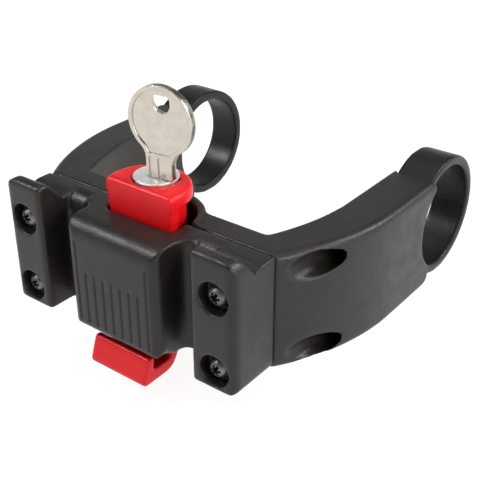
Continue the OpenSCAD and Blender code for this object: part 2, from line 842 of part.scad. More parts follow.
// Flat wafer with the blade's window, in a slot across the plug
module wafer(i) {
    color([0.78, 0.64, 0.36]) at_lock() difference() {
        translate([-wafer_half_u, key_side - wafer_half_v, wafer_z(i)])
            cube([2 * wafer_half_u, 2 * wafer_half_v, wafer_t]);
        blade_box(keyway_gap, wafer_z(i) - past, wafer_z(i) + wafer_t + past);
    }
}

// Cam on the plug's square tang, which points sideways while the lock is open
module lock_cam() {
    hole = tang_w + 2 * seat_gap;
    color([0.7, 0.7, 0.72]) translate([0, lock_y, cam_bottom_z]) difference() {
        union() {
            cylinder(d = cam_w + 1.2, h = cam_t);
            intersection() {
                translate([0, -cam_w / 2, 0]) cube([cam_len, cam_w, cam_t]);
                translate([0, 0, -past]) cylinder(r = cam_len, h = cam_t + 2 * past);
            }
        }
        translate([-hole / 2, -hole / 2, -past]) cube([hole, hole, cam_t + 2 * past]);
    }
}

module cam_screw() {
    color([0.6, 0.6, 0.62]) translate([0, lock_y, cam_bottom_z - seat_gap]) difference() {
        union() {
            translate([0, 0, -cam_screw_head_h]) cylinder(r = cam_screw_head_r, h = cam_screw_head_h);
            translate([0, 0, -seat_gap]) cylinder(r = cam_screw_r, h = cam_t + 3);
        }
        translate([-cam_screw_head_r - past, -0.4, -cam_screw_head_h - past])
            cube([2 * (cam_screw_head_r + past), 0.8, past + 0.7]);
    }
}

// Outline of the key in its own plane: round bow, flared neck and foot on the lock's face
module key_outline() {
    neck_r = neck_w / 2;
    neck_u = blade_left + neck_r;
    flare_z = bow_z - bow_d / 2 + 1;
    translate([bow_u, bow_z]) circle(d = bow_d);
    polygon(rounded([
        [neck_u - neck_r, key_foot_z, 0],
        [neck_u + neck_r, key_foot_z, 0],
        [neck_u + neck_r + 0.3, flare_z - 2, 5],
        [bow_u + bow_d * 0.38, bow_z - bow_d * 0.32, 0],
        [bow_u - bow_d * 0.38, bow_z - bow_d * 0.32, 0],
        [neck_u - neck_r - 0.3, flare_z - 2, 5]
    ], 8));
}

// A shape in the key's plane, extruded to a thickness about that plane
module key_slab(t) {
    translate([0, key_side + t / 2, 0]) rotate([90, 0, 0]) linear_extrude(t) children();
}

module key() {
    face_r = bow_d / 2 - 1.3;
    face_drop = 0.2;
    bow_t = key_t + 0.5;
    color([0.85, 0.83, 0.8]) at_lock() difference() {
        union() {
            key_slab(bow_t) key_outline();
            blade_box(0, lock_face_z - blade_len, key_foot_z + past);
        }
        for (side = [-1, 1]) translate([0, side * (bow_t - face_drop), 0])
            key_slab(bow_t) translate([bow_u, bow_z]) circle(r = face_r);
        key_slab(bow_t + past) translate([bow_u + 0.3, bow_z + bow_hole_rise]) {
            circle(d = 3.4);
            translate([-1.7, -1.4]) square([3.4, 1.4]);
        }
        for (u = [blade_left + 1, blade_left + 4.3])
            translate([u - 0.45, key_side - bow_t / 2 - past, lock_face_z - blade_len - past])
                cube([0.9, past + 0.6, blade_len + past + 6]);
    }
}

front_housing();
arm_bracket();
strap_right();
strap_left();
clamp_screw(strap_x, clamp_upper_z);  // clamp_screw_upper_right
clamp_screw(strap_x, clamp_lower_z);  // clamp_screw_lower_right
clamp_screw(-strap_x, clamp_upper_z);  // clamp_screw_upper_left
clamp_screw(-strap_x, clamp_lower_z);  // clamp_screw_lower_left
clamp_insert(strap_x, clamp_upper_z);  // clamp_insert_upper_right
clamp_insert(strap_x, clamp_lower_z);  // clamp_insert_lower_right
clamp_insert(-strap_x, clamp_upper_z);  // clamp_insert_upper_left
clamp_insert(-strap_x, clamp_lower_z);  // clamp_insert_lower_left
flange_screw(flange_screw_x, flange_upper_z);  // flange_screw_upper_right
flange_screw(flange_screw_x, flange_lower_z);  // flange_screw_lower_right
flange_screw(-flange_screw_x, flange_upper_z);  // flange_screw_upper_left
flange_screw(-flange_screw_x, flange_lower_z);  // flange_screw_lower_left
release_slider();
slider_spring();
lock_barrel();
barrel_clip();
lock_plug();
lock_cam();
cam_screw();
wafer(0);  // wafer_1
wafer(1);  // wafer_2
wafer(2);  // wafer_3
wafer(3);  // wafer_4
wafer(4);  // wafer_5
key();
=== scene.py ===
"""Looks of a handlebar bag adapter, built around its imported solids.

Every length is a real one in millimetres and is turned to metres where Blender needs it. The part's frame
has X along the handlebar, Y from the bag towards the rider and Z up, with its origin on the handlebar's axis.
"""

from __future__ import annotations

import json
import logging
import math
from dataclasses import dataclass
from enum import Enum
from typing import Any, Callable

import bmesh
import bpy
import numpy as np
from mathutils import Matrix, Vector

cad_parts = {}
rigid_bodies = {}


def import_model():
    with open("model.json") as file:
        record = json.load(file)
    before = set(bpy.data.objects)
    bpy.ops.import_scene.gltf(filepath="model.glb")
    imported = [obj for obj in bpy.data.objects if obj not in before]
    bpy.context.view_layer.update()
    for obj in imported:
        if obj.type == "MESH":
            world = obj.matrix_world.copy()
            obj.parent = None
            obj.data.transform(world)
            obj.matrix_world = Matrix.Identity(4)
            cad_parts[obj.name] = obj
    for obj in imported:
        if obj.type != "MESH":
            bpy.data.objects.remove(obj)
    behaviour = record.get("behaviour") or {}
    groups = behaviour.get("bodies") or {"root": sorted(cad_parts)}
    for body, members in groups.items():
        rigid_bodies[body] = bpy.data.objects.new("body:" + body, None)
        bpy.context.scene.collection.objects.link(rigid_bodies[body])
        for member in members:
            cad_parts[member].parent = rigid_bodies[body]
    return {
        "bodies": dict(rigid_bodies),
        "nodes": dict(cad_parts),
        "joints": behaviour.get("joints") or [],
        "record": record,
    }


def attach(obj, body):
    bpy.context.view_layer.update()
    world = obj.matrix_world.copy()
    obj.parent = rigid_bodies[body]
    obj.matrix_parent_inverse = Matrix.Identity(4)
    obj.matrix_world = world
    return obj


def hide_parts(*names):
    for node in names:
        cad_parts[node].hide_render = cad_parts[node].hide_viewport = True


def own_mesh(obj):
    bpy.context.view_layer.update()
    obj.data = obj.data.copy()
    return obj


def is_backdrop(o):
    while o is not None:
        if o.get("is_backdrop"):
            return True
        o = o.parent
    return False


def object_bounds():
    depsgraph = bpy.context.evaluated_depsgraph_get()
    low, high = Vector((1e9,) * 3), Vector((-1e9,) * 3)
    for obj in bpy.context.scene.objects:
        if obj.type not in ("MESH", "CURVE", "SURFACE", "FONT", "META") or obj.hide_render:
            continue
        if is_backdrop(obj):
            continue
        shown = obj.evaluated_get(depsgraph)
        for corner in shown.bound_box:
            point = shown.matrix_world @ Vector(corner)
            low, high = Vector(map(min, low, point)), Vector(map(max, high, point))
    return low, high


LOG = logging.getLogger("bag_adapter")
MM = 0.001
LOCK_AXIS_MM = -71.4
# A change of a piece's form, made on its mesh in place
Reshape = Callable[[bpy.types.Mesh], None]


def linear(hex_colour: str) -> tuple[float, float, float, float]:
    """Turns an sRGB hex colour into linear RGBA.

    Args:
        hex_colour: Six hexadecimal digits, such as "2b2a28".

    Returns:
        The linear red, green, blue and an alpha of 1.
    """
    channels = [int(hex_colour[i : i + 2], 16) / 255 for i in (0, 2, 4)]
    red, green, blue = [c / 12.92 if c <= 0.04045 else ((c + 0.055) / 1.055) ** 2.4 for c in channels]
    return red, green, blue, 1.0


def add_node(
    tree: bpy.types.NodeTree,
    kind: str,
    settings: dict[str, Any] | None = None,
    inputs: dict[str, Any] | None = None,
) -> bpy.types.Node:
    """Adds one node with its settings, constants and links.

    Args:
        tree: Node tree that gets the node.
        kind: Blender's type name of the node.
        settings: Properties of the node itself.
        inputs: Value or linked output socket for each named input.

    Returns:
        The new node.
    """
    node = tree.nodes.new(kind)
    for name, value in (settings or {}).items():
        setattr(node, name, value)
    for name, value in (inputs or {}).items():
        socket = node.inputs[name]
        if isinstance(value, bpy.types.NodeSocket):
            tree.links.new(value, socket)
        else:
            socket.default_value = value
    return node


def places_of(mesh: bpy.types.Mesh) -> np.ndarray:
    """Returns the places of a mesh's corners, one row each."""
    places = np.empty(len(mesh.vertices) * 3)
    mesh.vertices.foreach_get("co", places)
    return places.reshape(-1, 3)


def move_to(mesh: bpy.types.Mesh, places: np.ndarray) -> None:
    """Puts a mesh's corners at their new places."""
    mesh.vertices.foreach_set("co", places.ravel())
    mesh.update()


class Edge(Enum):
    """How far an edge is broken, in millimetres, and in how many steps."""

    FINE = (0.22, 2)
    STAMPED = (0.14, 2)
    WIRE = (0.0, 0)


@dataclass(frozen=True)
class Finish:
    """A finish: one named material on a Principled shader.

    Attributes:
        name: Name of the material.
        body: sRGB hex colour of the piece.
        shade: sRGB hex colour that the body colour drifts towards.
        roughness: Roughness in the middle of its range.
        metallic: 1 for bare or plated metal, 0 for plastic.
        grain_mm: Size of one grain of the surface.
        grain_depth_mm: Height of that grain.
        drift_mm: Size of the patches in which colour and roughness drift.
        drift_range: Values of the pattern at which the roughness is lowest and highest.
    """

    name: str
    body: str
    shade: str
    roughness: float
    metallic: float = 0.0
    grain_mm: float = 0.4
    grain_depth_mm: float = 0.02
    drift_mm: float = 9.0
    drift_range: tuple[float, float] = (0.3, 0.7)

    def material(self) -> bpy.types.Material:
        """Returns the material, made the first time it is asked for.

        No finish has the name of a slot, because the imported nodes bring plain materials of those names.
        """
        found = bpy.data.materials.get(self.name)
        if found is not None:
            return found
        made = bpy.data.materials.new(self.name)
        made.use_nodes = True
        tree = made.node_tree
        tree.nodes.clear()
        shader = add_node(tree, "ShaderNodeBsdfPrincipled", inputs={"Metallic": self.metallic})
        add_node(tree, "ShaderNodeOutputMaterial", inputs={"Surface": shader.outputs["BSDF"]})
        self.dress(tree, shader)
        return made

    def noise(self, tree: bpy.types.NodeTree, size_mm: float, detail: float = 2.0) -> bpy.types.Node:
        """Adds a noise pattern in the part's own frame.

        Args:
            tree: Node tree of the material.
            size_mm: Size of one patch of the pattern.
            detail: Finer octaves on top of it.

        Returns:
            The noise node.
        """
        place = add_node(tree, "ShaderNodeTexCoord")
        return add_node(
            tree,
            "ShaderNodeTexNoise",
            inputs={"Vector": place.outputs["Object"], "Scale": 1 / (size_mm * MM), "Detail": detail},
        )

    def drift_colour(self, tree: bpy.types.NodeTree, shader: bpy.types.Node) -> None:
        """Lets the colour drift between body and shade.

        Args:
            tree: Node tree of the material.
            shader: Principled shader that gets the colour.
        """
        patches = self.noise(tree, self.drift_mm)
        colour = add_node(
            tree,
            "ShaderNodeMixRGB",
            inputs={
                "Fac": patches.outputs["Fac"],
                "Color1": linear(self.body),
                "Color2": linear(self.shade),
            },
        )
        tree.links.new(colour.outputs["Color"], shader.inputs["Base Color"])

    def drift_roughness(self, tree: bpy.types.NodeTree, shader: bpy.types.Node, spread: float) -> None:
        """Lets the roughness drift about its middle.

        Args:
            tree: Node tree of the material.
            shader: Principled shader that gets the roughness.
            spread: Distance of the two ends of the range from the middle.
        """
        patches = self.noise(tree, self.drift_mm / 2, 3.0)
        span = add_node(
            tree,
            "ShaderNodeMapRange",
            inputs={
                "Value": patches.outputs["Fac"],
                "From Min": self.drift_range[0],
                "From Max": self.drift_range[1],
                "To Min": self.roughness - spread,
                "To Max": self.roughness + spread,
            },
        )
        tree.links.new(span.outputs["Result"], shader.inputs["Roughness"])

    def grain(self, tree: bpy.types.NodeTree, shader: bpy.types.Node, strength: float = 1.0) -> None:
        """Adds the fine relief of the surface.

        Args:
            tree: Node tree of the material.
            shader: Principled shader that gets the relief.
            strength: Share of the relief that shows.
        """
        grains = self.noise(tree, self.grain_mm)
        bump = add_node(
            tree,
            "ShaderNodeBump",
            inputs={
                "Strength": strength,
                "Distance": self.grain_depth_mm * MM,
                "Height": grains.outputs["Fac"],
            },
        )
        tree.links.new(bump.outputs["Normal"], shader.inputs["Normal"])

    def dress(self, tree: bpy.types.NodeTree, shader: bpy.types.Node) -> None:
        """Sets colour, roughness and relief on the shader."""
        self.drift_colour(tree, shader)
        self.drift_roughness(tree, shader, spread=0.05)
        self.grain(tree, shader)


@dataclass(frozen=True)
class GrainedNylon(Finish):
    """Glass-filled nylon from a spark-eroded mould: deep grey-black, matt, with a fine even grain.

    The real grain is finer than the picture shows, so grain_mm is coarser than on the real thing.

    Attributes:
        ior: Refractive index of the resin.
        sheen: Specular level of its surface.
        fleck: sRGB hex colour of the fibres at the surface.
        fleck_range: Values of the pattern at which a fleck begins and is full.
        fleck_share: Share of its colour that a full fleck shows.
    """

    ior: float = 1.53
    sheen: float = 0.34
    fleck: str = "3d3a36"
    fleck_range: tuple[float, float] = (0.62, 0.78)
    fleck_share: float = 0.6

    def dress(self, tree: bpy.types.NodeTree, shader: bpy.types.Node) -> None:
        """Adds pale flecks of fibre at the surface to the plain finish."""
        shader.inputs["IOR"].default_value = self.ior
        shader.inputs["Specular IOR Level"].default_value = self.sheen
        patches = self.noise(tree, self.drift_mm)
        flecks = self.noise(tree, self.grain_mm * 2, 4.0)
        sparse = add_node(
            tree,
            "ShaderNodeMapRange",
            inputs={
                "Value": flecks.outputs["Fac"],
                "From Min": self.fleck_range[0],
                "From Max": self.fleck_range[1],
                "To Max": self.fleck_share,
            },
        )
        base = add_node(
            tree,
            "ShaderNodeMixRGB",
            inputs={
                "Fac": patches.outputs["Fac"],
                "Color1": linear(self.body),
                "Color2": linear(self.shade),
            },
        )
        colour = add_node(
            tree,
            "ShaderNodeMixRGB",
            inputs={
                "Fac": sparse.outputs["Result"],
                "Color1": base.outputs["Color"],
                "Color2": linear(self.fleck),
            },
        )
        tree.links.new(colour.outputs["Color"], shader.inputs["Base Color"])
        self.drift_roughness(tree, shader, spread=0.06)
        self.grain(tree, shader)


@dataclass(frozen=True)
class GlossMoulding(Finish):
    """Dyed polyoxymethylene from a polished mould: saturated, semi-gloss, with faint flow marks."""

    def dress(self, tree: bpy.types.NodeTree, shader: bpy.types.Node) -> None:
        """Lets a little light into the surface of the plain finish."""
        shader.inputs["IOR"].default_value = 1.48
        shader.inputs["Specular IOR Level"].default_value = 0.34
        shader.inputs["Subsurface Weight"].default_value = 0.05
        shader.inputs["Subsurface Radius"].default_value = (0.0012, 0.0003, 0.0002)
        shader.inputs["Subsurface Scale"].default_value = 1.0
        Finish.dress(self, tree, shader)


@dataclass(frozen=True)
class PlatedMetal(Finish):
    """Plated, drawn or stamped metal: bright, unevenly dulled by handling, with a faint relief.

    Attributes:
        unevenness: Spread of the roughness to either side, as a share of it.
        relief: Share of the grain's relief that shows.
    """

    unevenness: float = 0.4
    relief: float = 0.5

    def dress(self, tree: bpy.types.NodeTree, shader: bpy.types.Node) -> None:
        """Lets the roughness drift further than the plain finish does, and weakens its relief."""
        self.drift_colour(tree, shader)
        self.drift_roughness(tree, shader, spread=self.roughness * self.unevenness)
        self.grain(tree, shader, strength=self.relief)


# Moulded black nylon of the catch housing: warm grey-black where light falls on it
HOUSING_NYLON = GrainedNylon(
    "fine_moulded_nylon", "161311", "1f1b18", roughness=0.39, grain_mm=0.45, grain_depth_mm=0.09
)
# Moulded black nylon of the bracket: the same resin, from a coarser mould
BRACKET_NYLON = GrainedNylon(
    "coarse_moulded_nylon", "181512", "231f1b", roughness=0.41, grain_mm=0.5, grain_depth_mm=0.1
)
# Tough unfilled nylon of the straps: smoother, with a satin gleam along the bands
STRAP_NYLON = GrainedNylon(
    "satin_moulded_nylon", "0c0b0a", "131110", roughness=0.38, grain_mm=0.5, grain_depth_mm=0.03, sheen=0.25
)
# Red acetal of the button: clear saturated red with a soft gloss, moulded
BUTTON_RED = GlossMoulding(
    "dyed_red_acetal", "d50814", "c60611", roughness=0.42, grain_mm=0.8, grain_depth_mm=0.006
)
# Black zinc-plated steel of the flange screws: dark grey with soft glints
BLACK_ZINC = PlatedMetal(
    "black_zinc_steel", "83817e", "686663",
    roughness=0.4, metallic=1.0, grain_mm=0.3, grain_depth_mm=0.01, drift_mm=3.0,
)
# Clear zinc-plated steel of the clamp screws
CLEAR_ZINC = PlatedMetal(
    "clear_zinc_steel", "9fa1a4", "8b8d90",
    roughness=0.3, metallic=1.0, grain_mm=0.3, grain_depth_mm=0.01, drift_mm=3.0,
)
# Turned brass of the inserts
TURNED_BRASS = PlatedMetal(
    "turned_brass", "c9a35a", "b8904a",
    roughness=0.28, metallic=1.0, grain_mm=0.2, grain_depth_mm=0.008, drift_mm=3.0,
)
# Bright chrome on the lock's die-cast barrel and plug: pale, a little cloudy
LOCK_CHROME = PlatedMetal(
    "bright_chrome_plate", "f4f5f4", "eaecec",
    roughness=0.36, metallic=0.8, grain_mm=0.5, grain_depth_mm=0.003, drift_mm=4.0,
)
# Nickel-plated stamped key: warm silver, softly polished
KEY_NICKEL = PlatedMetal(
    "nickel_plate", "cdc6bb", "c3bbaf",
    roughness=0.3, metallic=1.0, grain_mm=0.6, grain_depth_mm=0.0015, drift_mm=5.0,
)
# Drawn spring wire
SPRING_WIRE = PlatedMetal(
    "spring_wire", "a5a7aa", "8f9194",
    roughness=0.25, metallic=1.0, grain_mm=0.2, grain_depth_mm=0.005, drift_mm=2.0,
)
# Stamped brass of the wafers
WAFER_BRASS = PlatedMetal(
    "stamped_brass", "cdae6c", "bd9c58",
    roughness=0.3, metallic=1.0, grain_mm=0.2, grain_depth_mm=0.006, drift_mm=2.0,
)


@dataclass(frozen=True)
class Softness:
    """How a moulding's edges are melted round, as a real mould's are.

    Attributes:
        voxel_mm: Size of the cells in which the form is taken up.
        passes: Times that its corners are drawn towards their neighbours.
        kept: Share of the triangles that is kept afterwards.
        crisp_mm: Two corners of a box that is taken up but not melted.
        pull: Share of the way to its neighbours' middle that a corner is drawn in one pass.
    """

    voxel_mm: float
    passes: int
    kept: float
    crisp_mm: tuple[tuple[float, float, float], tuple[float, float, float]] | None = None
    pull: float = 0.5

    def melt(self, mesh: bpy.types.Mesh) -> None:
        """Draws the corners of a mesh towards the middle of their neighbours."""
        places = places_of(mesh)
        count = len(places)
        ends = np.empty(len(mesh.edges) * 2, dtype=np.int64)
        mesh.edges.foreach_get("vertices", ends)
        ends = ends.reshape(-1, 2)
        near = np.concatenate([ends[:, 0], ends[:, 1]])
        far = np.concatenate([ends[:, 1], ends[:, 0]])
        neighbours = np.bincount(near, minlength=count)
        loose = np.full(count, self.pull)
        if self.crisp_mm is not None:
            low, high = (np.array(corner) * MM for corner in self.crisp_mm)
            loose[np.all((places > low) & (places < high), axis=1)] = 0.0
        for _ in range(self.passes):
            for axis in range(3):
                middle = np.bincount(near, weights=places[far, axis], minlength=count) / neighbours
                places[:, axis] += loose * (middle - places[:, axis])
        move_to(mesh, places)


def raised(from_mm: float, by_mm: float) -> Reshape:
    """Returns a reshape that lifts everything above a height.

    Args:
        from_mm: Height above which it lifts.
        by_mm: Lift.
    """

    def lift(mesh: bpy.types.Mesh) -> None:
        """Lifts the corners of one mesh."""
        for corner in mesh.vertices:
            if corner.co.z > from_mm * MM:
                corner.co.z += by_mm * MM

    return lift


def add_block(mesh: bpy.types.Mesh, corners_mm: list[tuple[float, float, float]]) -> None:
    """Adds the closed hull of some corners to a mesh.

    Args:
        mesh: Mesh that gets the hull as one more closed surface.
        corners_mm: Corners of the hull.
    """
    made = bmesh.new()
    made.from_mesh(mesh)
    corners = [made.verts.new(Vector(corner) * MM) for corner in corners_mm]
    bmesh.ops.convex_hull(made, input=corners)
    made.to_mesh(mesh)
    made.free()


@dataclass
class Bench:
    """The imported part, and the way a shown piece is made from one of its solids.

    Attributes:
        sharp_deg: Angle between two faces from which their edge is broken and shaded as an edge.
        flat_deg: Angle up to which two faces count as one flat face.
        merge_mm: Distance up to which two corners count as one.
    """

    frame: dict[str, Any]
    sharp_deg: float = 38.0
    flat_deg: float = 0.6
    merge_mm: float = 0.002

    def body_of(self, node: str) -> str:
        """Returns the name of the body that a node moves with."""
        bodies = self.frame["record"]["behaviour"]["bodies"]
        return next(body for body, members in bodies.items() if node in members)

    def clean_mesh(self, node: str, name: str) -> bpy.types.Mesh:
        """Copies a node's mesh with whole flat faces and smooth curved ones.

        Args:
            node: Node of the frame.
            name: Name of the copy.

        Returns:
            The cleaned copy.
        """
        mesh = self.frame["nodes"][node].data.copy()
        mesh.name = name
        made = bmesh.new()
        made.from_mesh(mesh)
        bmesh.ops.remove_doubles(made, verts=made.verts, dist=self.merge_mm * MM)
        bmesh.ops.dissolve_limit(
            made, angle_limit=math.radians(self.flat_deg), verts=made.verts, edges=made.edges
        )
        for face in made.faces:
            face.smooth = True
        mesh.clear_geometry()
        made.to_mesh(mesh)
        made.free()
        mesh.set_sharp_from_angle(angle=math.radians(self.sharp_deg))
        return mesh

    def soft_shell(
        self, node: str, name: str, soft: Softness, finish: Finish, reshape: Reshape | None = None
    ) -> bpy.types.Object:
        """Makes the shown piece of a moulding: the same form, with its edges melted round.

        Args:
            node: Node of the frame whose form the piece takes.
            name: Name of the piece.
            soft: How its edges are melted.
            finish: Finish of its surface.
            reshape: What is done to its form first.

        Returns:
            The piece, riding on the node's body and shown in place of the node.
        """
        mesh = self.clean_mesh(node, name)
        if reshape is not None:
            reshape(mesh)
        piece = bpy.data.objects.new(name, mesh)
        bpy.context.scene.collection.objects.link(piece)
        cells = piece.modifiers.new("cells", "REMESH")
        cells.mode = "VOXEL"
        cells.voxel_size = soft.voxel_mm * MM
        ready = piece.evaluated_get(bpy.context.evaluated_depsgraph_get())
        melted = bpy.data.meshes.new_from_object(ready)
        piece.modifiers.clear()
        soft.melt(melted)
        melted.polygons.foreach_set("use_smooth", [True] * len(melted.polygons))
        melted.materials.clear()
        melted.materials.append(finish.material())
        piece.data = melted
        fewer = piece.modifiers.new("fewer_faces", "DECIMATE")
        fewer.ratio = soft.kept
        even = piece.modifiers.new("even_normals", "WEIGHTED_NORMAL")
        even.keep_sharp = False
        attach(piece, self.body_of(node))
        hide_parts(node)
        return piece

    def shell(
        self, node: str, name: str, edge: Edge, finish: Finish, reshape: Reshape | None = None
    ) -> bpy.types.Object:
        """Makes the shown piece of a node: the same form, with broken edges and a finish.

        Args:
            node: Node of the frame whose form the piece takes.
            name: Name of the piece.
            edge: How its edges are broken.
            finish: Finish of its surface.
            reshape: What is done to its form first.

        Returns:
            The piece, riding on the node's body and shown in place of the node.
        """
        mesh = self.clean_mesh(node, name)
        if reshape is not None:
            reshape(mesh)
        mesh.materials.clear()
        mesh.materials.append(finish.material())
        piece = bpy.data.objects.new(name, mesh)
        bpy.context.scene.collection.objects.link(piece)
        width, steps = edge.value
        if steps:
            bevel = piece.modifiers.new("broken_edges", "BEVEL")
            bevel.width = width * MM
            bevel.segments = steps
            bevel.limit_method = "ANGLE"
            bevel.angle_limit = math.radians(self.sharp_deg)
            bevel.use_clamp_overlap = True
            bevel.harden_normals = True
        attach(piece, self.body_of(node))
        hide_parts(node)
        return piece


@dataclass
class FrontHousing:
    """Catch housing with its four flange screws.

    Attributes:
        soft: How the housing's edges are melted.
        block_mm: Half width and lower end of the catch block.
        corner_mm: Radius of the shown block's two lower corners, as seen from the bag.
        corner_run_mm: Places along Y where these corners begin and are full.
        corner_slack: Reach past the middle of the round, in radii, up to which a point is the block's.
        least_corner_mm: Radius under which a corner is left square.
        screw_seat_mm: Place of the screw heads' seats along Y.
        head_fullness: Height of a shown screw head over that of its solid.
    """

    soft: Softness = Softness(0.32, 14, 0.3, ((-14.2, -93, -17.2), (14.2, -90.2, 10.6)))
    block_mm: tuple[float, float] = (16.4, -18.5)
    corner_mm: float = 4.4
    corner_run_mm: tuple[float, float] = (-83.5, -87.5)
    corner_slack: float = 1.3
    least_corner_mm: float = 0.3
    screw_seat_mm: float = -86.15
    head_fullness: float = 1.4

    def build(self, bench: Bench) -> list[bpy.types.Object]:
        """Returns the housing and its screws."""
        housing = bench.soft_shell(
            "front_housing", "catch_housing", self.soft, HOUSING_NYLON
        )
        self.round_corners(housing.data)
        pieces = [housing]
        for height in ("upper", "lower"):
            for side in ("right", "left"):
                node = f"flange_screw_{height}_{side}"
                name = f"housing_screw_{height}_{side}"
                pieces.append(
                    bench.shell(node, name, Edge.STAMPED, BLACK_ZINC, self.fuller_head)
                )
        return pieces

    def round_corners(self, mesh: bpy.types.Mesh) -> None:
        """Draws the block's lower corners in to a round."""
        places = places_of(mesh)
        half, foot = (size * MM for size in self.block_mm)
        begin, full = (place * MM for place in self.corner_run_mm)
        radius = self.corner_mm * MM * np.clip((begin - places[:, 1]) / (begin - full), 0.0, 1.0)
        out, down = np.abs(places[:, 0]) - (half - radius), foot + radius - places[:, 2]
        reach = np.hypot(out, down)
        on_block = (out > 0) & (out < self.corner_slack * radius) & (down > 0)
        low = on_block & (radius > self.least_corner_mm * MM) & (reach > radius)
        draw = radius[low] / reach[low]
        side = np.sign(places[low, 0])
        places[low, 0] = side * (half - radius[low] + out[low] * draw)
        places[low, 2] = foot + radius[low] - down[low] * draw
        move_to(mesh, places)

    def fuller_head(self, mesh: bpy.types.Mesh) -> None:
        """Lets a screw's dome stand further out of its seat."""
        seat = self.screw_seat_mm * MM
        for corner in mesh.vertices:
            if corner.co.y < seat:
                corner.co.y = seat + (corner.co.y - seat) * self.head_fullness


@dataclass
class ArmBracket:
    """Bracket of bridge, collar and two arms.

    Attributes:
        soft: How its edges are melted; the groove that the lock's cam turns into stays crisp.
    """

    soft: Softness = Softness(0.3, 22, 0.2, ((-15.5, -74.0, -6.5), (15.5, -57.0, 4.0)))

    def build(self, bench: Bench) -> list[bpy.types.Object]:
        """Returns the bracket."""
        return [
            bench.soft_shell("arm_bracket", "bracket_moulding", self.soft, BRACKET_NYLON)
        ]


@dataclass
class HandlebarClamps:
    """Two straps with their screws and inserts.

    Attributes:
        soft: How the straps' edges are melted.
    """

    soft: Softness = Softness(0.3, 16, 0.3)

    def build(self, bench: Bench) -> list[bpy.types.Object]:
        """Returns the straps, screws and inserts."""
        pieces = []
        for side in ("right", "left"):
            pieces.append(
                bench.soft_shell(f"strap_{side}", f"clamp_band_{side}", self.soft, STRAP_NYLON)
            )
            for height in ("upper", "lower"):
                place = f"{height}_{side}"
                screw, insert = f"clamp_screw_{place}", f"clamp_insert_{place}"
                pieces += [
                    bench.shell(screw, f"cap_screw_{place}", Edge.FINE, CLEAR_ZINC),
                    bench.shell(insert, f"brass_insert_{place}", Edge.FINE, TURNED_BRASS),
                ]
        return pieces


@dataclass
class ReleaseButton:
    """Red button with its return spring.

    Attributes:
        soft: How the button's edges are melted.
        head_foot_mm: Height of the underside of its head.
        lift_mm: Height that the shown head has over its solid.
        narrowing: Width of the shown head over that of its solid.
        head_middle_mm: Place of the middle of the round head along Y.
        front_mm: Place of the button's front face along Y.
        half_width_mm: Half the width of the front wall, at its foot and just under the head.
        foot_slack_mm: Distance under the head's foot from which a corner is the head's.
        core_mm: Half the width of the head's core, which is not drawn in.
        lift_from_mm: Distance over the head's foot from which it is lifted.
        wall_mm: Reach of the added wall under and over the head's foot.
        flare_mm: Distance under the head's foot at which the wall has its full width.
        wall_plan_mm: Corners of the wall's plan, as inset from its side and distance behind its front.
        spring_foot_mm: Place of the spring's lower end along Y and Z; not used.
        spring_mm: Height of the spring at rest; not used.
        travel_mm: Travel of the button; not used.
    """

    soft: Softness = Softness(0.26, 22, 0.35)
    head_foot_mm: float = 20.8
    lift_mm: float = 0.9
    narrowing: float = 0.96
    head_middle_mm: float = -75.3
    front_mm: float = -79.4
    half_width_mm: tuple[float, float] = (11.6, 11.8)
    foot_slack_mm: float = 0.2
    core_mm: float = 8.0
    lift_from_mm: float = 0.6
    wall_mm: tuple[float, float] = (4.4, 1.6)
    flare_mm: float = 0.3
    wall_plan_mm: tuple[tuple[float, float], ...] = ((1.2, 0.0), (0.35, 0.35), (0.0, 1.2), (0.0, 3.9))
    spring_foot_mm: tuple[float, float] = (-70.4, -13.95)
    spring_mm: float = 8.35
    travel_mm: float = 5.0

    def build(self, bench: Bench) -> list[bpy.types.Object]:
        """Returns the button and the spring."""
        button = bench.soft_shell(
            "release_slider", "red_button", self.soft, BUTTON_RED, self.fit_head
        )
        spring = bench.shell("slider_spring", "return_spring", Edge.WIRE, SPRING_WIRE)
        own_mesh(spring)
        return [button, spring]

    def fit_head(self, mesh: bpy.types.Mesh) -> None:
        """Draws the head in to the front wall, raises its top and runs the wall up under it."""
        foot, middle = self.head_foot_mm * MM, self.head_middle_mm * MM
        for corner in mesh.vertices:
            if corner.co.z > foot - self.foot_slack_mm * MM and abs(corner.co.x) > self.core_mm * MM:
                corner.co.x *= self.narrowing
            if corner.co.z > foot - self.foot_slack_mm * MM and corner.co.y > middle + self.core_mm * MM:
                corner.co.y = middle + (corner.co.y - middle) * self.narrowing
            if corner.co.z > foot + self.lift_from_mm * MM:
                corner.co.z += self.lift_mm * MM
        low, high = self.half_width_mm
        foot_mm, top_mm = self.head_foot_mm - self.wall_mm[0], self.head_foot_mm + self.wall_mm[1]
        add_block(
            mesh,
            [
                (side * (half - inset), self.front_mm + back, z)
                for side in (-1, 1)
                for half, z in ((low, foot_mm), (high, self.head_foot_mm - self.flare_mm), (high, top_mm))
                for inset, back in self.wall_plan_mm
            ],
        )


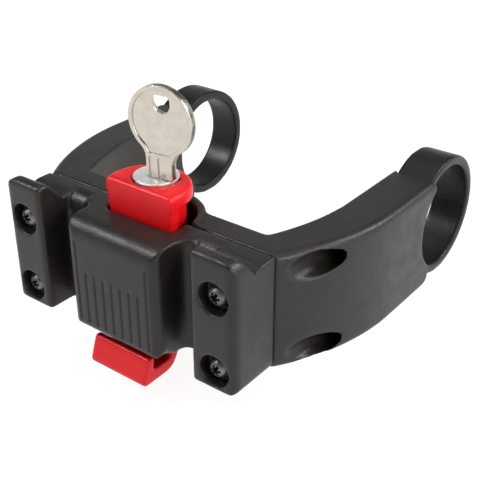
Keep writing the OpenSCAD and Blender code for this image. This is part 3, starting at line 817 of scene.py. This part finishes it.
@dataclass
class CamLock:
    """Wafer lock: barrel, clip, plug, cam, screw and wafers.

    Attributes:
        wafers: Number of wafers.
        lift_mm: Height that the shown face has over its solid.
        lift_from_mm: Height above which barrel and plug are lifted.
        axis_mm: Place of the lock's axis along Y.
        rim_from_mm: Height above which the lifted barrel is its face.
        rim_r_mm: Distance from the axis beyond which the face is its rim.
        narrowing: Diameter of the shown rim over that of its solid.
    """

    wafers: int = 5
    lift_mm: float = 0.9
    lift_from_mm: float = 23.4
    axis_mm: float = LOCK_AXIS_MM
    rim_from_mm: float = 24.2
    rim_r_mm: float = 6.0
    narrowing: float = 0.93

    def build(self, bench: Bench) -> list[bpy.types.Object]:
        """Returns the pieces of the lock."""
        rise = raised(self.lift_from_mm, self.lift_mm)
        pieces = [
            bench.shell(
                "lock_barrel", "barrel_casting", Edge.STAMPED, LOCK_CHROME, self.fit_face
            ),
            bench.shell("lock_plug", "plug_casting", Edge.STAMPED, LOCK_CHROME, rise),
            bench.shell("barrel_clip", "horseshoe_clip", Edge.STAMPED, SPRING_WIRE),
            bench.shell("lock_cam", "cam_blank", Edge.STAMPED, CLEAR_ZINC),
            bench.shell("cam_screw", "cam_fixing_screw", Edge.STAMPED, CLEAR_ZINC),
        ]
        for number in range(1, self.wafers + 1):
            name = f"brass_wafer_{number}"
            pieces.append(bench.shell(f"wafer_{number}", name, Edge.STAMPED, WAFER_BRASS))
        return pieces

    def fit_face(self, mesh: bpy.types.Mesh) -> None:
        """Raises the barrel's face and draws its rim in."""
        raised(self.lift_from_mm, self.lift_mm)(mesh)
        axis = self.axis_mm * MM
        for corner in mesh.vertices:
            from_axis = math.hypot(corner.co.x, corner.co.y - axis)
            if corner.co.z > self.rim_from_mm * MM and from_axis > self.rim_r_mm * MM:
                corner.co.x *= self.narrowing
                corner.co.y = axis + (corner.co.y - axis) * self.narrowing


@dataclass
class LockKey:
    """Stamped key: a plate with a raised rim round its bow, two grooves down its neck, and the blade.

    Lengths along u run across the key, along the keyway, and z is the height in the part's frame.

    Attributes:
        bow: Middle of the bow in u and z, in millimetres.
        bow_r_mm: Radius of the bow.
        neck: Left and right side of the neck in u.
        blade: Left and right side of the blade in u.
        foot_mm: Height of the neck's foot on the lock's face.
        tip_mm: Height of the blade's tip.
        shoulder_mm: Height at which the sunk face of the bow ends.
        rim_mm: Width of the raised rim.
        flare_r_mm: Radius of the two hollows between neck and bow.
        hole_place: Middle of the hole in u and z, from the middle of the bow.
        hole_corners: Corners of the hole in u and z, from its middle.
        groove_mm: Width of a groove in the neck.
        groove_sides: Left side of each groove in u.
        groove_ends_mm: Distance of a groove from the neck's foot and from the shoulder.
        groove_point: Place of a groove's upper point across it, and its height over the sides.
        plate_half_mm: Half the thickness of the plate.
        blade_extra_mm: What the blade adds to that.
        rim_half_mm: Half the thickness of the rim.
        edges_mm: Width of the broken edges of plate, blade and rim.
        tip_bevel_mm: Width of the bevels at the blade's tip, left and right.
        blade_overlap_mm: Length of blade inside the neck.
        steps: Steps in which a hollow and the bow are drawn.
        sharp_deg: Angle between two faces from which their edge is shaded as an edge.
        axis_mm: Place of the lock's axis along Y.
        turn_deg: Turn of the keyway against the handlebar.
        offset_mm: Distance of the key's plane in front of the lock's axis.
    """

    bow: tuple[float, float] = (3.1, 41.75)
    bow_r_mm: float = 9.75
    neck: tuple[float, float] = (-1.7, 6.4)
    blade: tuple[float, float] = (-1.9, 3.0)
    foot_mm: float = 25.7
    tip_mm: float = 7.0
    shoulder_mm: float = 32.6
    rim_mm: float = 1.2
    flare_r_mm: float = 4.5
    hole_place: tuple[float, float] = (0.35, 4.9)
    hole_corners: tuple[tuple[float, float], ...] = (
        (-2.2, 2.2), (-2.8, 1.2), (-2.7, -0.3), (-1.5, -2.0), (0.4, -2.7), (2.0, -2.1), (2.8, -0.4),
        (2.7, 1.3), (2.0, 2.2),
    )
    groove_mm: float = 0.85
    groove_sides: tuple[float, ...] = (-0.8, 2.0)
    groove_ends_mm: tuple[float, float] = (0.12, 0.9)
    groove_point: tuple[float, float] = (0.42, 0.4)
    plate_half_mm: float = 0.72
    blade_extra_mm: float = 0.1
    rim_half_mm: float = 1.08
    edges_mm: tuple[float, float, float] = (0.05, 0.1, 0.12)
    tip_bevel_mm: tuple[float, float] = (1.6, 1.2)
    blade_overlap_mm: float = 0.4
    steps: tuple[int, int] = (10, 72)
    sharp_deg: float = 32.0
    axis_mm: float = LOCK_AXIS_MM
    turn_deg: float = 8.7
    offset_mm: float = 1.0

    def build(self, bench: Bench) -> list[bpy.types.Object]:
        """Returns the key, made of its plate and the raised layer on it."""
        whole, sunk = self.outline(0.0, self.foot_mm), self.outline(self.rim_mm, self.shoulder_mm)
        plate_edge, blade_edge, rim_edge = self.edges_mm
        blade_half = self.plate_half_mm + self.blade_extra_mm
        plate = self.layer("key_plate", [whole, self.hole()], self.plate_half_mm, plate_edge)
        blade = self.layer("key_blade", [self.blade_loop()], blade_half, blade_edge)
        rim = self.layer("key_rim", [whole, sunk, *self.grooves()], self.rim_half_mm, rim_edge)
        made = bmesh.new()
        for part in (plate, blade, rim):
            made.from_mesh(part)
            bpy.data.meshes.remove(part)
        mesh = bpy.data.meshes.new("stamped_key")
        made.to_mesh(mesh)
        made.free()
        self.place(mesh)
        mesh.polygons.foreach_set("use_smooth", [True] * len(mesh.polygons))
        mesh.set_sharp_from_angle(angle=math.radians(self.sharp_deg))
        mesh.materials.append(KEY_NICKEL.material())
        key = bpy.data.objects.new("stamped_key", mesh)
        bpy.context.scene.collection.objects.link(key)
        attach(key, bench.body_of("key"))
        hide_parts("key")
        return [key]

    def outline(self, inset: float, foot: float) -> list[tuple[float, float]]:
        """Returns the outline of bow and neck, drawn in by an inset and cut off level at a height."""
        bow_u, bow_z = self.bow
        radius, flare = self.bow_r_mm - inset, self.flare_r_mm + inset
        hollow_steps, bow_steps = self.steps
        sides = []
        for side, edge in ((1, self.neck[1] - inset), (-1, self.neck[0] + inset)):
            across = (edge - bow_u) * side + flare
            down = math.sqrt((radius + flare) ** 2 - across**2)
            steep = math.atan2(down, across)
            hollow_u, hollow_z = edge + side * flare, bow_z - down
            first = max(0.0, math.asin(max(-1.0, min(1.0, (foot - hollow_z) / flare))))
            arc = [first + (steep - first) * i / hollow_steps for i in range(hollow_steps + 1)]
            run = [(hollow_u - side * flare * math.cos(a), hollow_z + flare * math.sin(a)) for a in arc]
            if foot < hollow_z:
                run.insert(0, (edge, foot))
            sides.append((run, steep))
        (right, right_steep), (left, left_steep) = sides
        start, end = -right_steep, math.pi + left_steep
        turn = [start + (end - start) * i / bow_steps for i in range(1, bow_steps)]
        bow = [(bow_u + radius * math.cos(a), bow_z + radius * math.sin(a)) for a in turn]
        return right + bow + left[::-1]

    def hole(self) -> list[tuple[float, float]]:
        """Returns the outline of the bow's rounded hole."""
        u, z = self.bow[0] + self.hole_place[0], self.bow[1] + self.hole_place[1]
        return [(u + du, z + dz) for du, dz in self.hole_corners]

    def blade_loop(self) -> list[tuple[float, float]]:
        """Returns the outline of the blade, with a bevelled tip."""
        (left, right), tip, top = self.blade, self.tip_mm, self.foot_mm + self.blade_overlap_mm
        near, far = self.tip_bevel_mm
        point = [(left, tip + near), (left + near, tip), (right - far, tip), (right, tip + far)]
        return [*point, (right, top), (left, top)]

    def grooves(self) -> list[list[tuple[float, float]]]:
        """Returns the outlines of the two grooves in the neck."""
        foot, top = self.foot_mm + self.groove_ends_mm[0], self.shoulder_mm - self.groove_ends_mm[1]
        wide, (across, rise) = self.groove_mm, self.groove_point
        return [
            [(u, foot), (u + wide, foot), (u + wide, top - rise), (u + across, top), (u, top - rise)]
            for u in self.groove_sides
        ]

    def layer(
        self, name: str, loops: list[list[tuple[float, float]]], half: float, bevel: float
    ) -> bpy.types.Mesh:
        """Makes one flat layer from its outline and holes.

        Args:
            name: Name of the mesh.
            loops: Outline first, then the holes, in millimetres.
            half: Half its thickness.
            bevel: Width of its broken edges.

        Returns:
            The layer as a mesh, in millimetres, in its own plane.
        """
        curve = bpy.data.curves.new(name, "CURVE")
        curve.dimensions = "2D"
        curve.fill_mode = "BOTH"
        curve.extrude = half - bevel
        curve.bevel_depth = bevel
        curve.bevel_resolution = 2
        curve.offset = -bevel
        for loop in loops:
            spline = curve.splines.new("POLY")
            spline.points.add(len(loop) - 1)
            for point, (u, z) in zip(spline.points, loop):
                point.co = (u, z, 0.0, 1.0)
            spline.use_cyclic_u = True
        maker = bpy.data.objects.new(name, curve)
        bpy.context.scene.collection.objects.link(maker)
        mesh = bpy.data.meshes.new_from_object(maker.evaluated_get(bpy.context.evaluated_depsgraph_get()))
        bpy.data.objects.remove(maker)
        bpy.data.curves.remove(curve)
        return mesh

    def place(self, mesh: bpy.types.Mesh) -> None:
        """Puts the flat key upright in the keyway, in metres."""
        turn = math.radians(self.turn_deg)
        for corner in mesh.vertices:
            u, z, out = corner.co
            v = -self.offset_mm - out
            corner.co = (
                (u * math.cos(turn) - v * math.sin(turn)) * MM,
                (self.axis_mm + u * math.sin(turn) + v * math.cos(turn)) * MM,
                z * MM,
            )


@dataclass(frozen=True)
class Softbox:
    """A soft rectangular light.

    Attributes:
        name: Name of the light.
        place_mm: Its place in the part's frame.
        size_mm: Width and height of its face.
        power: Power in watts.
    """

    name: str
    place_mm: tuple[float, float, float]
    size_mm: tuple[float, float]
    power: float


@dataclass
class Studio:
    """White table, soft lights, a room that is dim above, and the camera at the photograph's angle.

    Attributes:
        azimuth_deg: Turn of the view round Z, from a look along +Y.
        elevation_deg: Height of the view above the horizon.
        camera_mm: Place of the camera.
        lens_mm: Focal length on a 36 mm wide sensor.
        aim_mm: Point that the lights face.
        table_mm: Side of the square white table, which fills the whole view.
        table_drop_mm: Depth of the table under the part's lowest point, with room for the pressed hook.
        table_glow: Light that the table gives off itself, so that it stays white round the part.
        horizon: Heights, as sines, between which the room goes from pale to dim.
        room_light: Strength of the room's light round the horizon and above.
    """

    azimuth_deg: float = 37.49
    elevation_deg: float = 29.28
    camera_mm: tuple[float, float, float] = (150.94, -231.39, 128.13)
    lens_mm: float = 67.52
    aim_mm: tuple[float, float, float] = (0.0, -45.0, 0.0)
    table_mm: float = 2600.0
    table_drop_mm: float = 5.6
    table_glow: float = 0.88
    horizon: tuple[float, float] = (0.12, 0.3)
    room_light: tuple[float, float] = (1.0, 0.14)
    softboxes: tuple[Softbox, ...] = (
        Softbox("overhead_softbox", (0, 0, 1300), (1500, 1500), 8.0),
        Softbox("left_softbox", (-420, -380, 470), (150, 150), 2.8),
        Softbox("rear_softbox", (430, 330, 420), (200, 160), 3.0),
        Softbox("right_softbox", (620, -120, 260), (420, 300), 3.0),
        Softbox("far_softbox", (-560, 700, 560), (520, 420), 0.3),
    )

    def build(self, low: Vector) -> None:
        """Makes the table, the lights, the room and the camera.

        Args:
            low: Lowest corner of the whole part.
        """
        self.make_table(low[2] - self.table_drop_mm * MM)
        for softbox in self.softboxes:
            self.make_light(softbox)
        self.make_room()
        self.make_camera()

    def make_table(self, height: float) -> None:
        """Makes the table under the part.

        Args:
            height: Height of its top, in metres.
        """
        half = self.table_mm / 2 * MM
        mesh = bpy.data.meshes.new("studio_table")
        corners = [(-half, -half, height), (half, -half, height), (half, half, height), (-half, half, height)]
        mesh.from_pydata(corners, [], [(0, 1, 2, 3)])
        table = bpy.data.objects.new("studio_table", mesh)
        bpy.context.scene.collection.objects.link(table)
        # Matt white paper, which also glows a little
        paper = bpy.data.materials.new("white_paper")
        paper.use_nodes = True
        shader = paper.node_tree.nodes["Principled BSDF"]
        shader.inputs["Base Color"].default_value = linear("808080")
        shader.inputs["Roughness"].default_value = 0.9
        shader.inputs["Specular IOR Level"].default_value = 0.2
        shader.inputs["Emission Color"].default_value = linear("ffffff")
        shader.inputs["Emission Strength"].default_value = self.table_glow
        mesh.materials.append(paper)
        table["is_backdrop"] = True

    def make_light(self, softbox: Softbox) -> None:
        """Makes one soft light that faces the part."""
        data = bpy.data.lights.new(softbox.name, "AREA")
        data.shape = "RECTANGLE"
        data.size, data.size_y = (size * MM for size in softbox.size_mm)
        data.energy = softbox.power
        light = bpy.data.objects.new(softbox.name, data)
        light.location = Vector(softbox.place_mm) * MM
        aim = Vector(self.aim_mm) * MM - light.location
        light.rotation_euler = aim.to_track_quat("-Z", "Y").to_euler()
        bpy.context.scene.collection.objects.link(light)

    def make_room(self) -> None:
        """Sets a surround that is pale round the horizon and dim above, so that level faces stay dark."""
        room = bpy.data.worlds.new("dim_room")
        bpy.context.scene.world = room
        room.use_nodes = True
        tree = room.node_tree
        way = add_node(tree, "ShaderNodeTexCoord")
        rise = add_node(tree, "ShaderNodeSeparateXYZ", inputs={"Vector": way.outputs["Generated"]})
        falloff = add_node(
            tree,
            "ShaderNodeMapRange",
            inputs={
                "Value": rise.outputs["Z"],
                "From Min": self.horizon[0],
                "From Max": self.horizon[1],
                "To Min": self.room_light[0],
                "To Max": self.room_light[1],
            },
        )
        backdrop = tree.nodes["Background"]
        backdrop.inputs["Color"].default_value = linear("f4f6f8")
        tree.links.new(falloff.outputs["Result"], backdrop.inputs["Strength"])

    def make_camera(self) -> None:
        """Makes the camera at the photograph's viewing angle."""
        data = bpy.data.cameras.new("photo_camera")
        data.sensor_width = 36.0
        data.lens = self.lens_mm
        data.clip_start = 0.01
        camera = bpy.data.objects.new("photo_camera", data)
        turn, rise = math.radians(self.azimuth_deg), math.radians(self.elevation_deg)
        back = Vector((math.sin(turn) * math.cos(rise), -math.cos(turn) * math.cos(rise), math.sin(rise)))
        camera.location = Vector(self.camera_mm) * MM
        camera.rotation_euler = (-back).to_track_quat("-Z", "Y").to_euler()
        bpy.context.scene.collection.objects.link(camera)
        bpy.context.scene.camera = camera
        bpy.context.scene.view_settings.view_transform = "Standard"


def main() -> None:
    """Builds the whole scene, with the table set under the part's lowest point."""
    bench = Bench(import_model())
    solid_low, solid_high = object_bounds()
    Studio().build(solid_low)
    for assembly in (FrontHousing(), ArmBracket(), HandlebarClamps(), ReleaseButton(), CamLock(), LockKey()):
        for piece in assembly.build(bench):
            LOG.info("%s: %s with %d faces", type(assembly).__name__, piece.name, len(piece.data.polygons))


if __name__ == "__main__":
    logging.basicConfig(level=logging.INFO)
    main()
